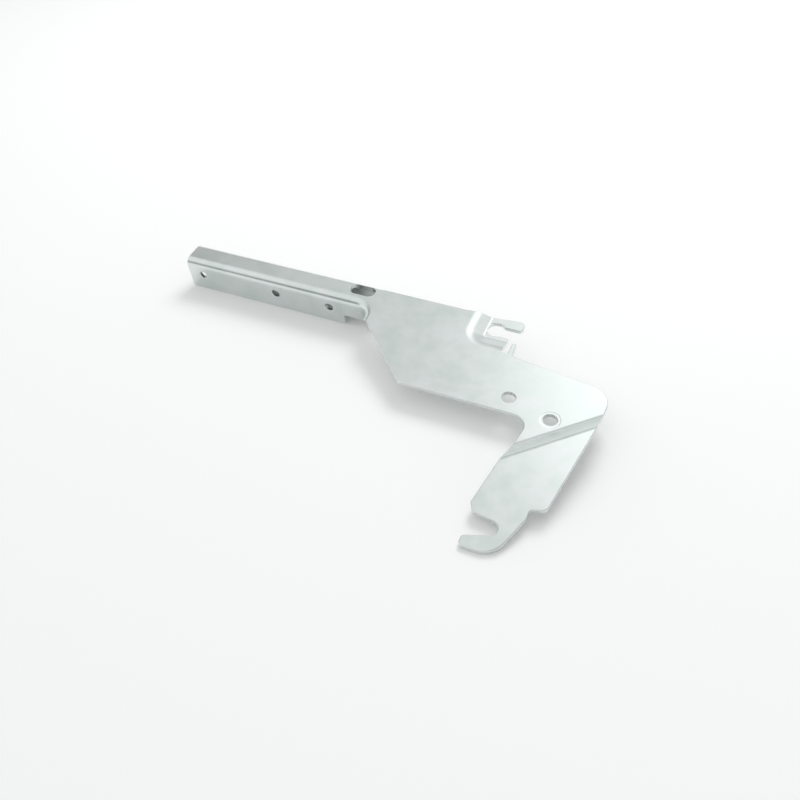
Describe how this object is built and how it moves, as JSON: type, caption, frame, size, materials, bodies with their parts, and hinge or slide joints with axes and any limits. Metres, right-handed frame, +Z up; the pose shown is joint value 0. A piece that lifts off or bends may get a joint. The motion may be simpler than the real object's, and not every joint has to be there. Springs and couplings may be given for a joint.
{
  "type": "dishwasher door hinge",
  "caption": "Stamped steel hinge arm for a dishwasher door: a U-shaped screw-on rail, a flat plate with a sunk spring tab, and a raised leg that ends in an open pivot hook.",
  "frame": {"origin": "on the floor under the middle of the box that holds the arm", "axes": "+X along the rail from its open end to the plate, +Y from the hook towards the rail, +Z up, with the arm lying on its flange edges and the tip of its hook"},
  "size_m": [0.2378, 0.1318, 0.0202],
  "materials": {
    "zinc_plated_steel": "zinc plated, satin"
  },
  "bodies": {
    "root": {"hinge_arm": "zinc_plated_steel"}
  },
  "joints": []
}
